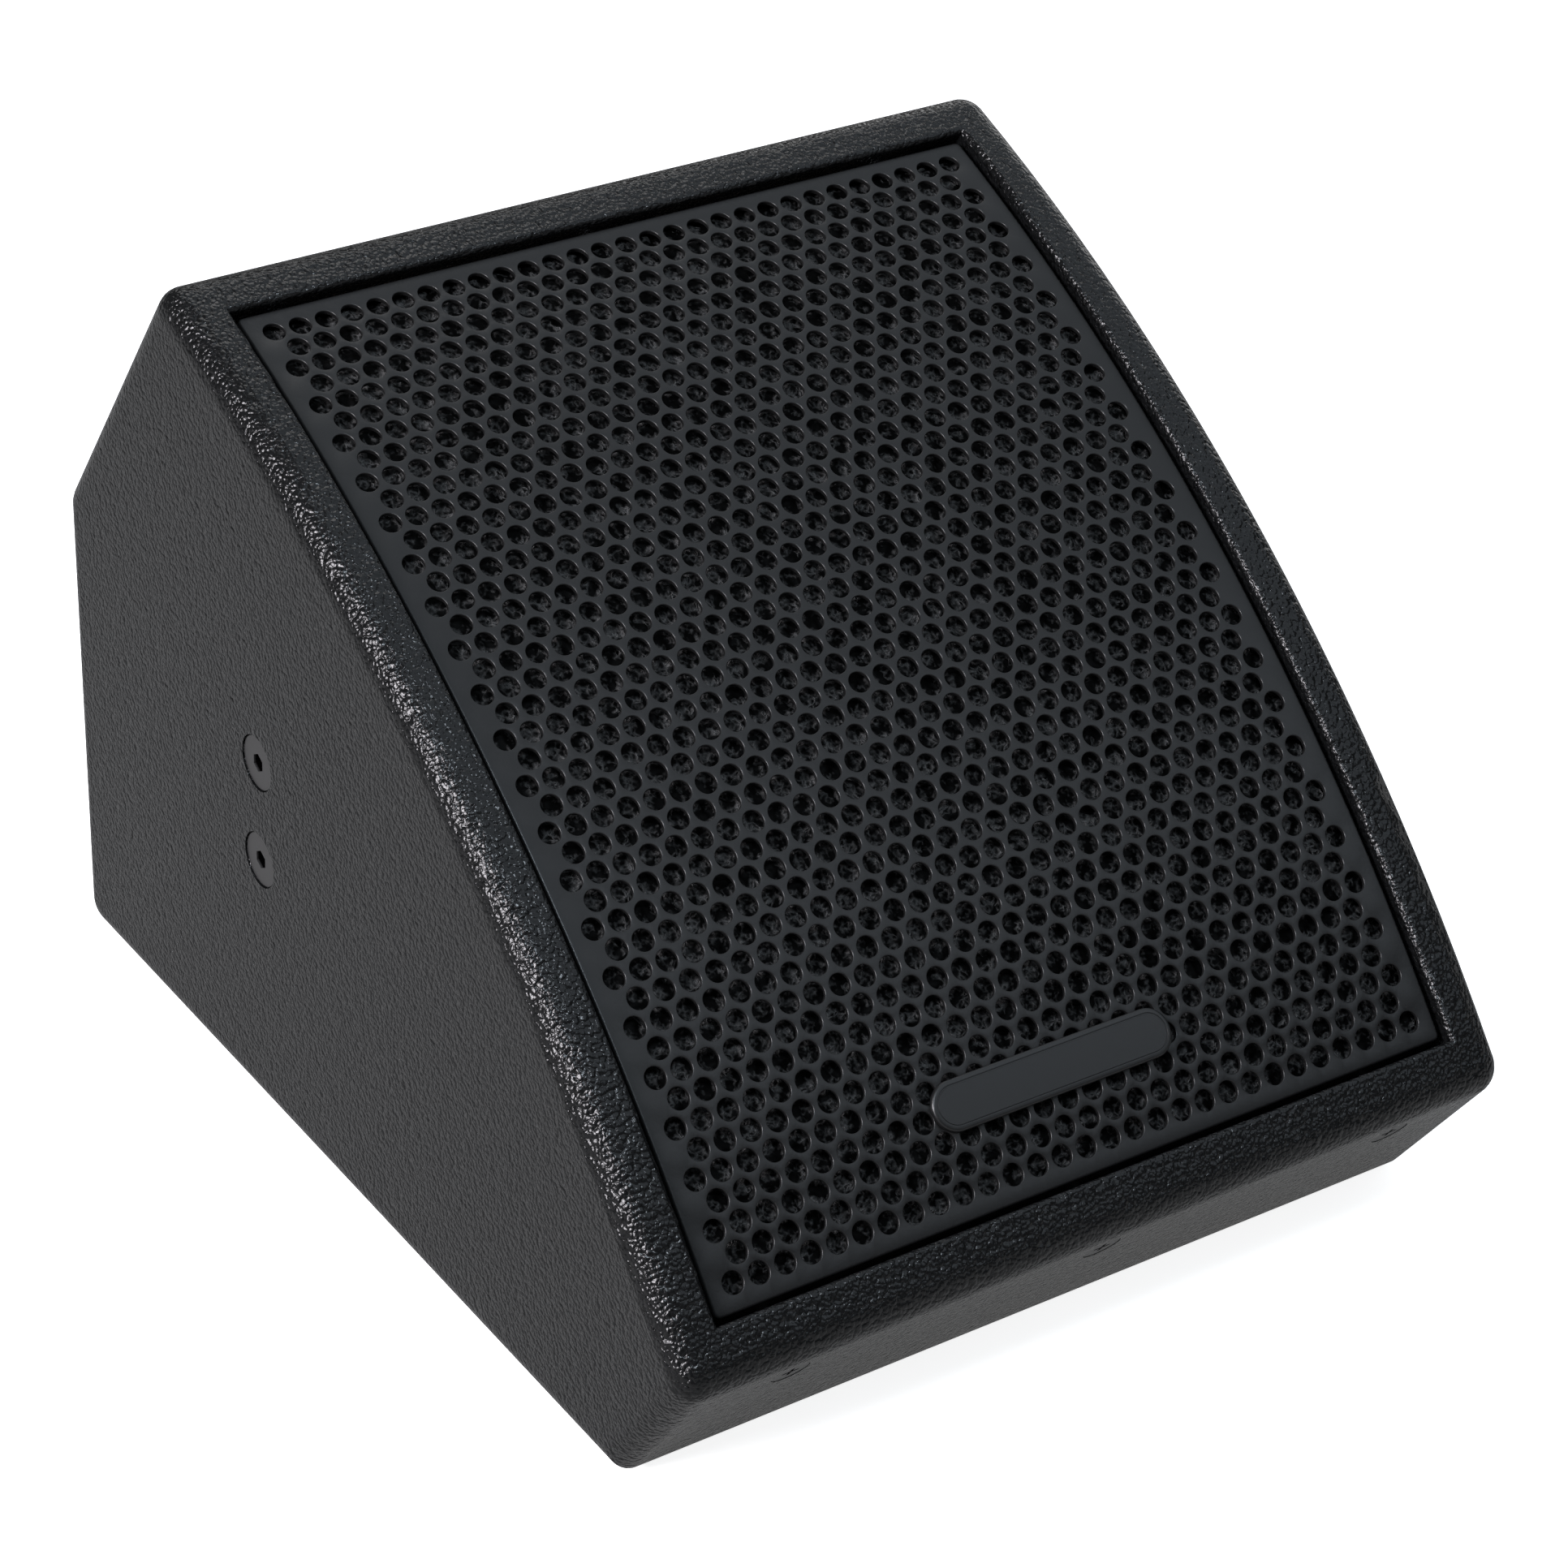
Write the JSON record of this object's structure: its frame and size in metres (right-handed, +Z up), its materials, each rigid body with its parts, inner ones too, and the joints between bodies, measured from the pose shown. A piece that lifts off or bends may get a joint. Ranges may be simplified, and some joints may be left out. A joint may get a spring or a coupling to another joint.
{
  "type": "stage monitor wedge",
  "caption": "Wedge-shaped plywood floor monitor with a curved perforated steel grille, coaxial loudspeaker inside, rubber feet and a sunk input plate on the back.",
  "frame": {"origin": "on the floor under the middle of the whole object", "axes": "+X to the right seen from the grille side, +Y towards the upright back, +Z up"},
  "size_m": [0.273, 0.3386, 0.2435],
  "materials": {
    "alloy": "satin",
    "badge": "black, satin",
    "basket": "black powder coat",
    "black_plastic": "fine matte",
    "black_screw": "black oxide",
    "board": "glass-fibre laminate",
    "bright_steel": "zinc plated",
    "cabinet_coat": "black textured coating on birch plywood",
    "cable": "flexible sheath",
    "capacitor": "film",
    "ceramic": "ceramic",
    "cloth": "woven, resin treated",
    "cone": "matte",
    "copper": "enamelled copper wire",
    "ferrite": "raw ferrite",
    "foam": "open-cell foam, black",
    "former": "amber film",
    "grille_steel": "satin black powder coat",
    "inner_wood": "plain plywood, black stained",
    "pole_steel": "zinc plated",
    "rubber": "matte",
    "wadding": "felted fibre"
  },
  "bodies": {
    "cabinet": {"badge_clips": "bright_steel", "badge_pins": "bright_steel", "badge_plate": "badge", "baffle": "inner_wood", "baffle_cleats": "inner_wood", "board_screws": "bright_steel", "board_spacers": "black_plastic", "bottom_panel": "cabinet_coat", "capacitors": "capacitor", "crossover_board": "board", "damping_pad": "wadding", "driver_basket": "basket", "driver_bolts": "black_screw", "driver_gasket": "rubber", "driver_tee_nuts": "bright_steel", "driver_terminals": "black_plastic", "foot_screws": "bright_steel", "grille": "grille_steel", "grille_foam": "foam", "grille_nuts": "bright_steel", "grille_screws": "black_screw", "hf_cover_screws": "black_screw", "hf_front_plate": "pole_steel", "hf_magnet": "ferrite", "hf_mounting_ring": "black_plastic", "hf_phase_plug": "black_plastic", "hf_rear_cover": "black_plastic", "hf_rear_plate": "pole_steel", "hf_suspension": "former", "horn": "black_plastic", "horn_cable": "cable", "inductors": "copper", "input_cable": "cable", "input_plate": "grille_steel", "input_plate_screws": "black_screw", "lip_panel": "cabinet_coat", "port_tubes": "black_plastic", "rear_panel": "cabinet_coat", "resistors": "ceramic", "rigging_plate_left": "bright_steel", "rigging_plate_right": "bright_steel", "rigging_screws": "black_screw", "rubber_feet": "rubber", "side_panel_left": "cabinet_coat", "side_panel_right": "cabinet_coat", "socket_screws": "black_screw", "speaker_socket_left": "black_plastic", "speaker_socket_right": "black_plastic", "top_panel": "cabinet_coat", "woofer_cable": "cable", "woofer_magnet": "ferrite", "woofer_spider": "cloth", "woofer_surround": "rubber", "woofer_top_plate": "pole_steel", "woofer_yoke": "pole_steel"},
    "woofer_moving_part": {"woofer_cone": "cone", "voice_coil_former": "former", "voice_coil_winding": "copper"},
    "treble_moving_part": {"hf_diaphragm": "alloy", "hf_coil_winding": "copper"}
  },
  "joints": [
    {"name": "woofer_travel", "type": "slide", "parent": "cabinet", "child": "woofer_moving_part", "axis": [0, -0.5736, 0.8192], "range_m": [-0.004, 0.004], "stiffness_N_per_m": 3500, "deforming": ["woofer_surround", "woofer_spider"]},
    {"name": "treble_travel", "type": "slide", "parent": "cabinet", "child": "treble_moving_part", "axis": [0, -0.5736, 0.8192], "range_m": [-0.0003, 0.0003], "stiffness_N_per_m": 600, "deforming": ["hf_suspension"]}
  ]
}
